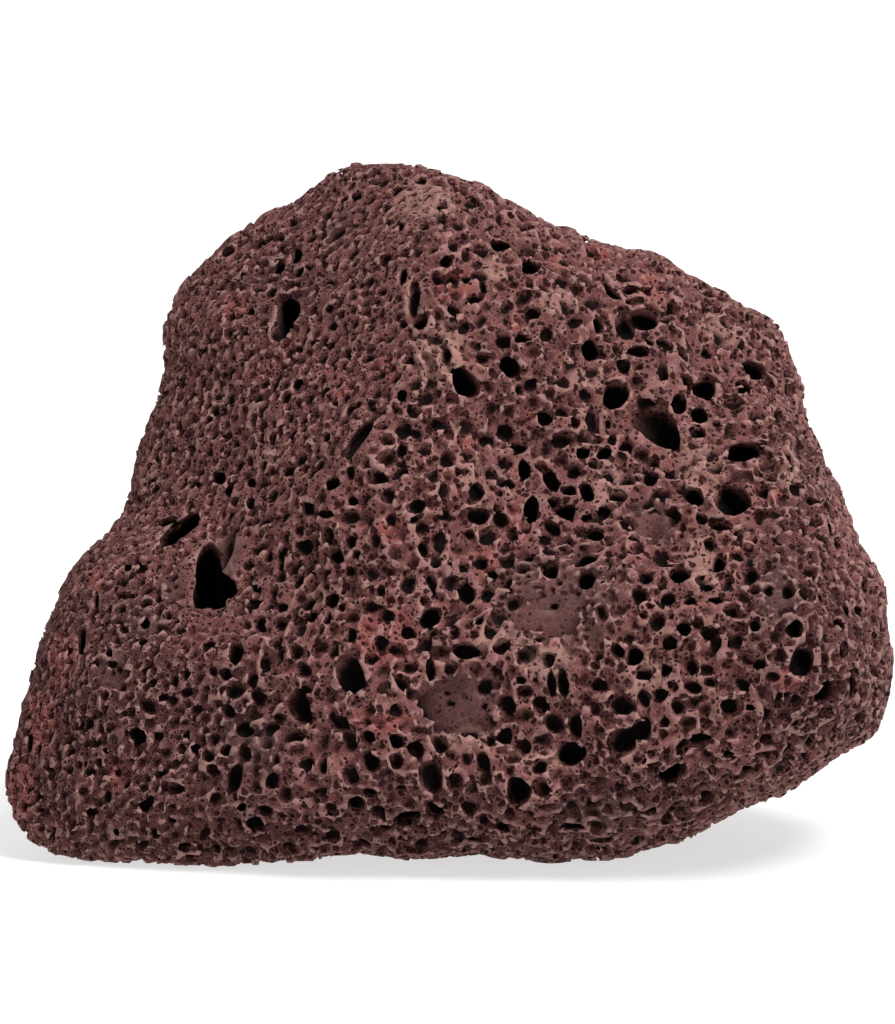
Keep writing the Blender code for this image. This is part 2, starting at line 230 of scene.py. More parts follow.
def lattice_noise(size):
    """Noise from -1 to 1 whose bumps are about so many millimetres across."""
    counts = [int(n * STEP / size) + 2 for n in fine_shape]
    return stretched(dice.uniform(-1, 1, counts).astype(np.float32), [STEP / size] * 3, True)


skin = stretched(body, [STEP / BODY_STEP] * 3, False)
print("Fine block", skin.shape, round(skin.nbytes / 1e6), "MB")

# %% Lift and crumbs
LIFT_HEIGHTS = (0.0, 25.0, 70.0)
LIFTS = (0.15, 0.3, 0.5)
CRUMBS = ((7.0, 0.50), (3.0, 0.30), (1.5, 0.16))
skin -= np.interp(ORIGIN[2] + np.arange(skin.shape[2]) * STEP, LIFT_HEIGHTS, LIFTS).astype(np.float32)
solid = skin.copy()
for size, height in CRUMBS:
    solid += height * lattice_noise(size)
print("Lifted by", LIFTS, "mm at heights", LIFT_HEIGHTS, "and given", len(CRUMBS), "sizes of crumbs")

# %% [markdown]
# ## Holes that can be picked out in the photograph
#
# The eye knows this stone by its larger holes: the deep hollow at the left, the slot beside it,
# the caves along the top right, the ghost of a big bubble in the middle. Each is a line here:
# column and row of its middle, width and height in pixels, and how far its top leans to the
# right, in degrees. They come in three kinds, by how deep they run for their width. The hollow and
# the slot aren't one bubble each but several that ran together, so they are groups of cutters,
# and each of their lines ends with a depth in millimetres.

# %% Black holes, deeper than wide
BLACK_HOLES = (
    (180, 531, 17, 44, 45), (222, 479, 16, 12, 0), (231, 491, 9, 12, 0), (253, 484, 10, 9, 0),
    (83, 645, 10, 28, 0), (236, 654, 14, 28, 0), (139, 736, 17, 15, 0), (150, 801, 10, 10, 0),
    (235, 779, 14, 28, 20), (147, 626, 10, 12, 0), (98, 602, 6, 12, 0), (226, 674, 12, 12, 0),
    (289, 314, 24, 38, 0), (281, 332, 18, 20, 15), (298, 260, 12, 16, 0), (281, 270, 12, 14, 0),
    (361, 438, 15, 42, 28), (415, 299, 11, 34, 0), (405, 279, 8, 18, 0), (422, 325, 13, 15, 0),
    (402, 451, 10, 14, 0), (453, 247, 12, 18, 10), (446, 263, 11, 16, 20), (500, 246, 23, 19, 0),
    (529, 268, 19, 18, 0), (465, 280, 9, 12, 0), (483, 288, 6, 14, -15), (520, 340, 12, 9, 0),
    (612, 295, 8, 32, -40), (629, 293, 18, 10, -20), (596, 327, 12, 16, 0), (626, 329, 20, 27, -25),
    (645, 322, 22, 28, -60), (665, 319, 13, 13, 0), (708, 295, 17, 13, 0), (724, 291, 11, 10, 0),
    (590, 351, 19, 20, 0), (510, 368, 20, 20, 0), (463, 382, 24, 34, -45), (615, 397, 24, 28, 0),
    (705, 390, 23, 24, 0), (699, 418, 18, 18, 0), (679, 406, 16, 23, 10), (753, 371, 23, 21, 0),
    (544, 419, 15, 15, 0), (612, 441, 9, 12, 0), (605, 455, 15, 15, 0), (582, 454, 15, 12, 0),
    (741, 454, 34, 26, -15), (523, 471, 13, 22, 0), (531, 513, 15, 28, 0), (567, 513, 19, 18, 0),
    (588, 496, 13, 25, -30), (596, 536, 16, 17, 0), (634, 541, 11, 9, 0), (328, 515, 17, 9, 0),
    (338, 557, 17, 15, 0), (380, 592, 10, 10, 0), (430, 618, 19, 20, 0), (432, 633, 10, 8, 0),
    (430, 671, 9, 23, 0), (465, 652, 26, 16, 0), (585, 561, 22, 15, 0), (586, 580, 18, 17, 0),
    (551, 572, 16, 18, 0), (513, 605, 14, 11, 0), (645, 579, 14, 22, 0), (679, 576, 22, 23, 0),
    (618, 652, 14, 15, 0), (634, 657, 17, 19, 0), (694, 499, 19, 20, 0), (830, 516, 11, 13, 0),
    (718, 566, 14, 25, 0), (769, 590, 11, 11, 0), (717, 602, 13, 8, 0), (755, 626, 11, 14, 0),
    (685, 630, 14, 15, 0), (736, 643, 13, 18, 0), (795, 629, 16, 18, 0), (802, 660, 22, 30, 35),
    (843, 651, 13, 18, 0), (858, 611, 26, 15, -15), (854, 686, 21, 32, 0), (693, 688, 17, 12, 0),
    (711, 683, 13, 10, 0), (369, 736, 15, 12, 0), (396, 742, 16, 15, 0), (370, 792, 14, 11, 0),
    (357, 804, 17, 21, 0), (407, 817, 26, 18, 0), (577, 727, 15, 25, 0), (643, 730, 19, 20, 0),
    (571, 755, 28, 22, 0), (673, 774, 26, 24, 0), (518, 792, 23, 30, 0), (699, 738, 21, 16, 0),
    (727, 753, 11, 11, 0), (808, 720, 8, 11, 0), (750, 707, 10, 8, 0), (747, 770, 11, 12, 0),
    (413, 520, 10, 8, 0), (314, 617, 10, 10, 0), (521, 680, 10, 8, 0), (552, 684, 9, 28, 0),
    (564, 684, 13, 27, 0), (480, 622, 9, 8, 0), (532, 828, 18, 9, 0), (573, 826, 22, 9, 0),
    (583, 607, 8, 8, 0), (555, 606, 11, 7, 0), (578, 593, 8, 8, 0), (602, 613, 12, 17, 0),
    (450, 704, 11, 8, 0), (448, 694, 10, 7, 0), (484, 707, 8, 9, 0), (440, 712, 7, 7, 0),
    (511, 602, 12, 9, 0), (530, 560, 8, 8, 0), (540, 640, 9, 7, 0),
)
print(len(BLACK_HOLES), "black holes")

# %% Brown holes, about as deep as wide
BROWN_HOLES = (
    (73, 669, 6, 14, 0), (110, 654, 8, 8, 0), (93, 552, 10, 10, 0), (129, 569, 8, 8, 0),
    (145, 570, 9, 9, 0), (125, 584, 10, 11, 0), (144, 644, 12, 8, 0), (126, 631, 8, 8, 0),
    (235, 691, 18, 17, 0), (229, 711, 14, 14, 0), (150, 707, 19, 14, 25), (175, 737, 13, 8, 0),
    (176, 765, 9, 9, 0), (210, 757, 14, 10, 0), (228, 751, 12, 12, 0), (257, 758, 9, 13, 0),
    (276, 761, 8, 14, 0), (165, 785, 9, 9, 0), (175, 789, 20, 12, 0), (88, 724, 13, 13, 0),
    (31, 745, 8, 20, 0), (42, 710, 5, 15, 0), (255, 823, 18, 16, 0), (266, 811, 17, 13, 0),
    (242, 807, 9, 9, 0), (324, 823, 18, 14, 0), (230, 253, 14, 12, 0), (319, 319, 8, 12, 0),
    (254, 448, 10, 7, 0), (404, 325, 8, 10, 0), (424, 337, 8, 8, 0), (396, 408, 8, 13, 0),
    (335, 485, 16, 14, 0), (292, 473, 8, 8, 0), (388, 273, 5, 24, 0), (396, 268, 5, 20, 0),
    (518, 251, 13, 12, 0), (528, 286, 8, 16, 0), (563, 266, 9, 11, 0), (544, 250, 8, 8, 0),
    (554, 253, 8, 8, 0), (551, 277, 9, 10, 0), (473, 301, 14, 10, 0), (497, 210, 10, 10, 0),
    (485, 218, 6, 20, 0), (635, 303, 20, 10, -10), (680, 320, 9, 9, 0), (617, 350, 10, 16, 0),
    (638, 353, 23, 14, 0), (650, 344, 7, 7, 0), (563, 347, 10, 14, 0), (494, 371, 11, 17, 0),
    (474, 346, 12, 12, 0), (468, 358, 14, 10, 0), (662, 377, 10, 42, 0), (681, 355, 10, 18, -35),
    (692, 371, 9, 9, 0), (574, 424, 10, 15, 0), (592, 421, 14, 27, 0), (716, 427, 9, 11, 0),
    (734, 503, 34, 46, -35), (771, 438, 10, 8, 0), (772, 424, 9, 8, 0), (787, 457, 8, 34, -15),
    (715, 371, 7, 15, 0), (724, 371, 7, 13, 0), (708, 353, 14, 14, 0), (777, 345, 15, 9, 0),
    (772, 359, 8, 13, 0), (787, 390, 13, 18, 0), (550, 381, 10, 10, 0), (549, 394, 10, 13, 0),
    (502, 401, 8, 8, 0), (750, 400, 10, 12, 0), (765, 404, 7, 12, 0), (787, 415, 9, 9, 0),
    (457, 472, 9, 9, 0), (458, 486, 8, 8, 0), (500, 484, 9, 10, 0), (498, 494, 8, 8, 0),
    (551, 484, 18, 27, -35), (570, 493, 15, 14, 0), (554, 504, 13, 13, 0), (597, 519, 17, 13, 0),
    (586, 520, 8, 8, 0), (610, 521, 7, 11, 0), (609, 545, 8, 8, 0), (389, 496, 13, 16, 0),
    (421, 469, 10, 10, 0), (443, 492, 12, 18, 0), (358, 555, 10, 10, 0), (353, 574, 7, 7, 0),
    (300, 583, 14, 15, 0), (329, 586, 7, 12, 0), (408, 585, 15, 20, 0), (431, 584, 11, 23, 0),
    (434, 565, 13, 13, 0), (403, 532, 7, 26, 0), (330, 619, 10, 13, 0), (344, 608, 8, 10, 0),
    (352, 676, 28, 38, -35), (451, 668, 13, 13, 0), (454, 634, 11, 16, 0), (483, 653, 10, 15, 0),
    (502, 648, 16, 16, 0), (492, 577, 11, 11, 0), (466, 595, 17, 20, 0), (489, 596, 14, 22, 0),
    (449, 566, 7, 10, 0), (462, 570, 11, 16, 0),
    (613, 586, 7, 7, 0), (623, 555, 10, 14, 0), (627, 569, 9, 8, 0),
    (662, 586, 10, 16, 0), (650, 607, 9, 7, 0), (658, 623, 16, 20, 0), (644, 616, 8, 8, 0),
    (670, 616, 9, 9, 0), (597, 655, 13, 14, 0),
    (701, 521, 12, 16, 0), (652, 481, 15, 15, 0), (672, 476, 12, 12, 0),
    (793, 492, 10, 16, 0), (793, 514, 9, 12, 0), (827, 499, 13, 10, 0), (843, 529, 10, 12, 0),
    (814, 524, 12, 12, 0), (829, 530, 6, 12, 0), (720, 528, 22, 16, 0), (726, 581, 13, 22, 0),
    (748, 573, 17, 20, 0), (784, 560, 8, 15, 0), (736, 544, 9, 9, 0), (779, 543, 10, 10, 0),
    (707, 590, 15, 10, 0), (788, 591, 14, 17, 0), (690, 605, 14, 15, 0), (742, 615, 15, 10, 0),
    (699, 624, 12, 12, 0), (724, 627, 8, 14, 0), (754, 638, 12, 8, 0), (762, 649, 8, 13, 0),
    (811, 641, 13, 18, 0), (823, 660, 10, 16, 0), (867, 592, 24, 34, 0), (843, 611, 9, 22, 0),
    (831, 597, 6, 18, 0), (820, 610, 10, 15, 0), (827, 694, 25, 27, 0), (690, 666, 19, 19, 0),
    (673, 686, 10, 12, 0), (772, 677, 15, 10, 0), (303, 707, 28, 34, -10), (340, 724, 20, 17, 0),
    (341, 696, 12, 12, 0), (301, 738, 10, 10, 0), (370, 762, 20, 21, 0), (351, 776, 17, 22, 0),
    (386, 775, 17, 15, 0), (326, 785, 12, 15, 0), (378, 812, 13, 14, 0), (385, 829, 20, 18, 0),
    (432, 778, 24, 32, 0), (455, 783, 18, 22, 0), (435, 810, 18, 18, 0), (490, 741, 13, 13, 0),
    (507, 704, 18, 21, 0), (508, 719, 17, 9, 0), (541, 705, 16, 19, 0), (555, 724, 20, 20, 0),
    (622, 706, 26, 22, 0), (625, 741, 26, 36, 45), (600, 745, 7, 11, 0), (541, 788, 17, 17, 0),
    (540, 767, 16, 15, 0), (513, 758, 17, 13, 0), (679, 708, 15, 16, 0), (683, 745, 13, 16, 0),
    (663, 735, 10, 15, 0), (653, 755, 10, 10, 0), (627, 769, 9, 13, 0), (730, 707, 20, 20, 0),
    (705, 710, 11, 15, 0), (765, 754, 24, 17, 0), (789, 751, 15, 18, 0), (809, 742, 13, 24, 0),
    (760, 777, 10, 15, 0), (711, 768, 10, 8, 0), (640, 790, 20, 13, 0), (677, 806, 24, 20, 0),
    (618, 818, 13, 13, 0), (650, 810, 14, 9, 0), (873, 712, 10, 12, 0), (864, 723, 8, 10, 0),
    (377, 477, 24, 15, 20), (282, 608, 22, 11, 15), (309, 605, 17, 14, 0), (660, 433, 36, 58, -50),
    (549, 807, 30, 9, 0), (600, 838, 26, 9, 10), (480, 838, 24, 9, 0),
)
print(len(BROWN_HOLES), "brown holes")

# %% Pale bowls, much wider than deep
BOWLS = (
    (113, 672, 26, 28, 0), (152, 592, 14, 14, 0), (172, 590, 24, 20, 0), (107, 750, 24, 18, 0),
    (122, 777, 24, 24, 0), (439, 381, 12, 18, 0), (496, 318, 32, 36, 0), (555, 354, 30, 48, -15),
    (618, 424, 28, 25, 0), (458, 530, 28, 32, 0), (351, 582, 24, 36, 0),
    (392, 530, 24, 28, 0), (560, 600, 124, 112, 0), (605, 615, 14, 21, 0), (572, 628, 15, 17, 0),
    (532, 598, 9, 8, 0), (456, 704, 75, 62, 0), (714, 560, 28, 40, 0), (680, 533, 26, 18, 0),
    (780, 592, 38, 54, 0), (611, 779, 22, 22, 0), (777, 709, 26, 26, 0), (708, 787, 17, 19, 0),
    (521, 250, 30, 22, 0), (585, 358, 32, 30, 0), (606, 392, 44, 40, 0), (640, 408, 30, 26, 0),
    (745, 575, 34, 30, 0), (672, 545, 34, 26, 0), (600, 300, 34, 26, 0), (700, 350, 30, 34, 0),
    (485, 700, 26, 30, 0), (650, 520, 44, 50, 0), (573, 316, 26, 30, 0), (560, 745, 44, 40, 0),
)
print(len(BOWLS), "bowls")

# %% The hollow and the slot
HOLLOW = (
    (208, 578, 26, 66, 8, 13.0), (203, 594, 21, 40, 14, 12.0), (222, 587, 30, 26, 25, 13.0),
    (213, 598, 34, 20, 35, 11.0), (225, 556, 24, 54, 2, 2.8), (216, 612, 38, 20, 15, 1.6),
    (182, 531, 20, 46, 42, 10.0), (190, 524, 21, 26, 30, 9.0), (172, 540, 18, 24, 30, 9.0),
    (168, 523, 20, 10, -20, 3.0),
)
print(len(HOLLOW), "cutters for the hollow and the slot")

# %% [markdown]
# ## How a hole is cut
#
# A gas bubble is nearly a ball, pulled a little one way and dented by its neighbours. So a cutter
# is an ellipsoid whose space is bent by a few sine waves. Cutting is one line of arithmetic: the
# solid's distance becomes the larger of its own and the cutter's, turned inside out. Only the few
# cells around the hole are touched, so thousands of holes take seconds.

# %% The cutter
WOBBLE = 0.13
WAVES = 2.6


def carve(field, centre, axes, radii):
    """Cuts one dented ellipsoid, in millimetres, out of a block of distances."""
    radii = np.asarray(radii, float)
    reach = (np.abs(axes).T @ radii) * (1 + 2 * WOBBLE)
    first = np.maximum(np.floor((centre - reach - ORIGIN) / STEP).astype(int), 0)
    last = np.minimum(np.ceil((centre + reach - ORIGIN) / STEP).astype(int) + 1, field.shape)
    if (first >= last).any():
        return
    spans = [ORIGIN[a] + np.arange(first[a], last[a]) * STEP - centre[a] for a in range(3)]
    x, y, z = np.meshgrid(*spans, indexing="ij", sparse=True)
    local = [(axis[0] * x + axis[1] * y + axis[2] * z) / r for axis, r in zip(axes, radii)]
    phases = dice.uniform(0, 2 * math.pi, 3)
    bent = [
        local[a] + WOBBLE * np.sin(WAVES * local[(a + 1) % 3] + phases[a]) for a in range(3)
    ]
    out = np.sqrt(bent[0] ** 2 + bent[1] ** 2 + bent[2] ** 2) + 1e-6
    slope = np.sqrt(sum((part / r) ** 2 for part, r in zip(bent, radii))) + 1e-6
    block = field[first[0] : last[0], first[1] : last[1], first[2] : last[2]]
    np.maximum(block, out * (1 - out) / slope, out=block)


print("A cutter is bent by up to", WOBBLE, "of its radius")

# %% [markdown]
# ## Where the cutter goes
#
# A line of sight is followed to the closed body, and the cutter's middle is set a little below the
# skin there, a share SUNK of its depth, so that the walls undercut the mouth. It points between
# the line of sight and straight in. Where the skin slants away, the same depth would leave the
# floor of the hole in view, so the depth grows with the slant, up to a limit.

# %% Cut a hole where a pixel shows it
body_points, _, body_quads = closed.convertToPolygons(isovalue=-CLOSE)
surface = BVHTree.FromPolygons(body_points.tolist(), body_quads[:, ::-1].tolist())
SUNK = 0.3
MOST_SLANT = 0.45


def facing(normal, upright):
    """Axes across, along and into the stone, for a hole that keeps the given direction upright."""
    inward = Vector(normal).normalized()
    side = Vector(upright).cross(inward).normalized()
    return side, inward.cross(side).normalized(), inward


def seen_hole(column, row, wide, high, lean, deep, sunk=SUNK, sightward=2.5):
    """Cuts a hole whose mouth fills the given pixels. A lean turns its top to the right."""
    sight = line_of_sight(column, row)
    at, normal, _, _ = surface.ray_cast(EYE, sight)
    if at is None:
        print("No stone at", column, row)
        return
    at = at + normal * float(np.interp(at.z, LIFT_HEIGHTS, LIFTS))
    side, level, inward = facing(sight * sightward - normal, UPWARD)
    deep = deep / max(-normal.dot(sight), MOST_SLANT)
    turn = Matrix.Rotation(math.radians(lean), 3, inward)
    mouth = math.sqrt(1 - (sunk / (1 - sunk)) ** 2)
    radii = (wide / PIXELS_PER_MM / 2 / mouth, high / PIXELS_PER_MM / 2 / mouth, deep * (1 - sunk))
    axes = np.array([turn @ side, turn @ level, inward])
    carve(solid, np.array(at + inward * deep * sunk), axes, radii)
    return at, max(wide, high) / PIXELS_PER_MM / 2


print(len(body_quads), "quads to meet the lines of sight")

# %% All holes of the photograph
BLACK_DEEP = 1.5
BLACK_LEAST = 2.6
BROWN_DEEP = 0.95
BOWL_DEEP = 0.32
BOWL_DEEPEST = 1.35
taken = []
calm = []
for column, row, wide, high, lean in BOWLS:
    deep = min(BOWL_DEEP * min(wide, high) / PIXELS_PER_MM, BOWL_DEEPEST)
    calm.append(seen_hole(column, row, wide, high, lean, deep, sunk=0.0, sightward=0.4))
for column, row, wide, high, lean in BROWN_HOLES:
    deep = BROWN_DEEP * min(wide, high) / PIXELS_PER_MM
    taken.append(seen_hole(column, row, wide, high, lean, deep))
for column, row, wide, high, lean in BLACK_HOLES:
    deep = max(BLACK_DEEP * min(wide, high) / PIXELS_PER_MM, BLACK_LEAST)
    taken.append(seen_hole(column, row, wide, high, lean, deep))
for column, row, wide, high, lean, deep in HOLLOW:
    taken.append(seen_hole(column, row, wide, high, lean, deep))
taken = [hole for hole in taken if hole]
calm = [bowl for bowl in calm if bowl]
print(len(taken), "holes cut where the photograph shows them")

# %% [markdown]
# ## Foam everywhere else
#
# Between those, and on the sides that nobody photographed, the foam is packed by chance. Places
# are drawn on the surface, each with a size, many small and few large. Going from the largest
# down, a place is kept if its mouth stays clear of those already kept, so the walls come out thin
# and nearly even, as in real foam. The left of the stone is finer and its holes are drawn out
# along the old flow, rising to the right. The sides that the photograph doesn't show get a wider
# range of sizes, since no large holes were read there, and where the skin turns edge-on the holes
# stay small, so that the outline isn't chewed.

# %% Fine to coarse
GRAIN_ROWS = (160, 330, 450, 560, 700, 860)
GRAIN_COLUMNS = (440, 430, 370, 270, 240, 170)
GRAIN_BLEND = 70


def eased(values, start, end):
    """0 up to the start, 1 from the end on, and a smooth curve between."""
    share = np.clip((values - start) / (end - start), 0, 1)
    return share * share * (3 - 2 * share)


def coarseness(columns, rows):
    """0 where the foam is fine, left of a line down the stone, and 1 well to the right of it."""
    line = np.interp(rows, GRAIN_ROWS, GRAIN_COLUMNS)
    return eased(columns - line, -GRAIN_BLEND / 2, GRAIN_BLEND / 2)


print("Fine foam left of column", GRAIN_COLUMNS[0], "at the crown and", GRAIN_COLUMNS[-1], "at the foot")

# %% Places on the skin
DEEPEST_PLACE = 1.2


def skin_places(count):
    """Points drawn evenly over the solid's outer surface, and the way out of the stone at each."""
    flat = np.flatnonzero((np.abs(solid) < STEP / 2) & (skin > -DEEPEST_PLACE))
    index = np.stack(np.unravel_index(dice.choice(flat, min(count, len(flat)), replace=False), solid.shape))
    index = index[:, ((index > 0) & (index < np.array(solid.shape)[:, None] - 1)).all(axis=0)]
    slopes = []
    for axis in range(3):
        step = np.eye(3, dtype=int)[axis][:, None]
        slopes.append(skin[tuple(index + step)] - skin[tuple(index - step)])
    outward = np.array(slopes).T
    outward /= np.linalg.norm(outward, axis=1)[:, None] + 1e-9
    return ORIGIN + index.T * STEP, outward


print(int((np.abs(solid) < STEP / 2).sum()), "grid points lie on the surface")

# %% Packing
MOUTH_SHARE = 0.85
BOWL_FLOOR = 0.85
LARGEST_IN_A_BOWL = 0.5


def packed(places, sizes, wall):
    """The places kept, largest first, whose mouths leave a wall between them."""
    tree = kdtree.KDTree(len(places))
    for i, place in enumerate(places):
        tree.insert(place, i)
    tree.balance()
    for at, size in calm:
        for _, i, gap in tree.find_range(at, size * BOWL_FLOOR):
            sizes[i] = min(sizes[i], LARGEST_IN_A_BOWL)
    free = np.ones(len(places), bool)
    largest = sizes.max()
    for at, size in taken:
        for _, i, gap in tree.find_range(at, size + largest + wall):
            if gap < size * MOUTH_SHARE + sizes[i] + wall:
                free[i] = False
    kept = []
    for i in np.argsort(-sizes, kind="stable"):
        if not free[i]:
            continue
        kept.append(i)
        for _, other, gap in tree.find_range(places[i], 2 * sizes[i] + wall):
            if gap < sizes[i] + sizes[other] + wall:
                free[other] = False
    return kept


print("Holes in a bowl's floor are at most", LARGEST_IN_A_BOWL, "mm in radius")

# %% One family of holes
CALM_EDGE = 0.4
TURNED_AWAY = (-0.1, 0.2)
EDGE_ON = (0.1, 0.4)
MOST_SUNK = 0.8
LEAST_SPREAD = 1.05
FLOW = (RIGHT * math.cos(math.radians(50)) + UPWARD * math.sin(math.radians(50))).normalized()


def foam(tries, fine, coarse, unseen, steepness, depth, wall, stretch):
    """Packs and cuts one family of holes and returns how many.

    fine, coarse and unseen are the least and most radii in mm for those parts of the stone, and a
    higher steepness draws more small holes. depth is how far the middle is sunk, as a share of the
    radius, wall the rock left between mouths in mm, and stretch how much longer than wide a hole
    may be where the foam is fine and where it is coarse.
    """
    places, outward = skin_places(tries)
    columns, rows = pixel_of(places)
    share = coarseness(columns, rows)
    towards = -(outward @ np.array(SIGHT))
    away = 1 - eased(towards, *TURNED_AWAY)
    edge = 1 - eased(np.abs(towards), *EDGE_ON)
    least, most = (
        (fine[k] + (coarse[k] - fine[k]) * share) * (1 - away) + unseen[k] * away for k in (0, 1)
    )
    most = np.maximum(least * LEAST_SPREAD, most * (1 - CALM_EDGE * edge))
    sizes = least * (most / least) ** (dice.random(len(places)) ** steepness)
    kept = packed(places, sizes, wall)
    for i in kept:
        inward = -Vector(outward[i])
        drawn = FLOW if share[i] < 0.5 else Vector(dice.normal(size=3))
        side, level, inward = facing(inward, drawn)
        sunk = dice.uniform(*depth)
        long = 1 + (stretch[0] + (stretch[1] - stretch[0]) * share[i]) * dice.random()
        radius = sizes[i] / math.sqrt(1 - min(abs(sunk), MOST_SUNK) ** 2)
        centre = Vector(places[i]) + inward * radius * sunk
        carve(solid, np.array(centre), np.array([side, level, inward]), (radius, radius * long, radius))
    return len(kept)


print("The old flow ran along", [round(v, 2) for v in FLOW])

# %% Shallow cells first, then deep ones between and inside them
shallow = foam(30000, (0.45, 0.75), (0.9, 2.5), (1.0, 3.0), 1.4, (-0.62, -0.20), 0.15, (0.6, 0.3))
print(shallow, "shallow cells")
deep = foam(140000, (0.42, 0.85), (0.50, 1.35), (0.50, 2.1), 1.2, (-0.10, 0.6), 0.09, (0.5, 0.4))
print(deep, "deep cells")

# %% Cut level where it rests
heights = ORIGIN[2] + np.arange(solid.shape[2], dtype=np.float32) * STEP
np.maximum(solid, -heights, out=solid)
print("The stone stands on z = 0")

# %% [markdown]
# ## From distances to a surface
#
# The grid's zero level becomes a mesh of small quads. Bubbles that never broke through to the
# air, and crumbs that were cut loose, are separate pieces of that mesh, so only the largest piece
# is kept: one closed skin. A Decimate modifier then spends the triangles where the shape bends. It
# works in millimetres, because edges of a tenth of a millimetre are too short for it in metres,
# and a vertex group makes it spare the side that the photograph shows.


# %% Polygons
def surface_of(field):
    """Points in millimetres and quads of the field's zero level."""
    depth = 3 * STEP
    grid = openvdb.FloatGrid(depth)
    grid.transform = openvdb.createLinearTransform(voxelSize=STEP)
    grid.copyFromArray(np.clip(field, -depth, depth), ijk=(0, 0, 0), tolerance=0)
    points, _, quads = grid.convertToPolygons(isovalue=0)
    return points + ORIGIN, quads.astype(np.int64)


def largest_piece(points, quads):
    """The points and quads of the connected piece with the most points."""
    label = np.arange(len(points))
    while True:
        least = label[quads].min(axis=1)
        before = label.copy()
        for corner in range(4):
            np.minimum.at(label, quads[:, corner], least)
        label = label[label]
        if (label == before).all():
            break
    kept = label == np.bincount(label).argmax()
    number = np.cumsum(kept) - 1
    return points[kept], number[quads[kept[quads[:, 0]]]]


all_points, all_quads = surface_of(solid)
places, quads = largest_piece(all_points, all_quads)
print(len(all_quads), "quads, of which", len(quads), "are the stone's own skin")


# %% A mesh of them
def mesh_from(name, points, quads):
    """A Blender mesh of the given points and quads."""
    mesh = bpy.data.meshes.new(name)
    mesh.vertices.add(len(points))
    mesh.vertices.foreach_set("co", points.astype(np.float32).ravel())
    mesh.loops.add(quads.size)
    mesh.loops.foreach_set("vertex_index", quads.astype(np.int32).ravel())
    mesh.polygons.add(len(quads))
    mesh.polygons.foreach_set("loop_start", np.arange(0, quads.size, 4, dtype=np.int32))
    mesh.update(calc_edges=True)
    mesh.validate()
    return mesh


# A closed skin whose faces look outward has a positive volume, so a negative one is turned round.
a, b, c = (places[quads[:, k]] for k in range(3))
if (a * np.cross(b, c)).sum() < 0:
    quads = quads[:, ::-1]
rock = bpy.data.objects.new("scoria_lump", mesh_from("scoria_lump", places, quads))
bpy.context.scene.collection.objects.link(rock)
print(rock.name, "has", len(rock.data.vertices), "points")

# %% The side that the photograph shows
FRONT_SHARE = 0.35
SPARED = 0.5
from_middle = places - places.mean(axis=0)
towards_eye = -from_middle @ np.array(SIGHT)
seen = np.flatnonzero(towards_eye > np.abs(from_middle).max(axis=1) * FRONT_SHARE)
weights = rock.vertex_groups.new(name="weights")
weights.add(list(range(len(places))), 1.0, "REPLACE")
weights.add(seen.tolist(), SPARED, "REPLACE")
print(len(seen), "points are seen")

# %% Fewer triangles
MOST_TRIANGLES = 196000
SEEN_COST = 0.03
fewer = rock.modifiers.new("fewer", "DECIMATE")
fewer.ratio = MOST_TRIANGLES / (2 * len(quads))
fewer.use_collapse_triangulate = True
fewer.vertex_group = weights.name
fewer.vertex_group_factor = SEEN_COST
graph = bpy.context.evaluated_depsgraph_get()
light_mesh = bpy.data.meshes.new_from_object(rock.evaluated_get(graph))
rock.modifiers.clear()
rock.vertex_groups.clear()
rock.data = light_mesh
rock.data.transform(Matrix.Scale(MM, 4))
rock.data.shade_smooth()
front = sum(face.normal.y < 0 for face in rock.data.polygons)
print("Decimated to", len(rock.data.polygons), "triangles, of which", front, "face the front")

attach(rock, "root")
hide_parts(NODE)

# %% [markdown]
# ## What the material needs to know about the shape
#
# Rims are worn pale, and the insides of holes are painted dark, as painted shade. Both can be read
# from one number: how much rock there is in a small cube around a point. On a flat face it is
# half, on a sharp rim less, at the bottom of a hole more. The solid is blurred to get it, and each
# point of the mesh keeps the value. A cube of 1 mm finds the thin rims, one of 2 mm the small
# holes, and one of 6 mm tells the deep holes from the shallow ones. Two more numbers are kept: how
# far a point lies below the unbroken skin, which is large only deep inside a hole, and how coarse
# the foam is there.


# %% Rock around each point
def read_at(field, points):
    """The field's values at points in millimetres, straight between its cells."""
    at = (points - ORIGIN) / STEP
    first = np.clip(np.floor(at).astype(int), 0, np.array(field.shape) - 2)
    part = at - first
    total = 0
    for corner in np.ndindex(2, 2, 2):
        weight = np.prod(np.where(corner, part, 1 - part), axis=1)
        total = total + weight * field[tuple((first + corner).T)]
    return total


def keep_values(name, values):
    """Stores a number for each point of the mesh, where the material can read it."""
    attribute = rock.data.attributes.new(name, "FLOAT", "POINT")
    attribute.data.foreach_set("value", np.asarray(values, np.float32))
    print(name, "from", round(float(values.min()), 2), "to", round(float(values.max()), 2))


corners = np.empty(len(rock.data.vertices) * 3, np.float32)
rock.data.vertices.foreach_get("co", corners)
corners = corners.reshape(-1, 3) / MM
filled = np.clip(0.5 - solid / STEP, 0, 1).astype(np.float32)
keep_values("rim_rock", read_at(blurred(filled, 1, 1), corners))
near_rock = blurred(filled, 2, 1)
keep_values("near_rock", read_at(near_rock, corners))
keep_values("wide_rock", read_at(blurred(near_rock, 5, 1), corners))
keep_values("coarse", coarseness(*pixel_of(corners)))
keep_values("below_skin", -read_at(skin, corners))
del near_rock, filled
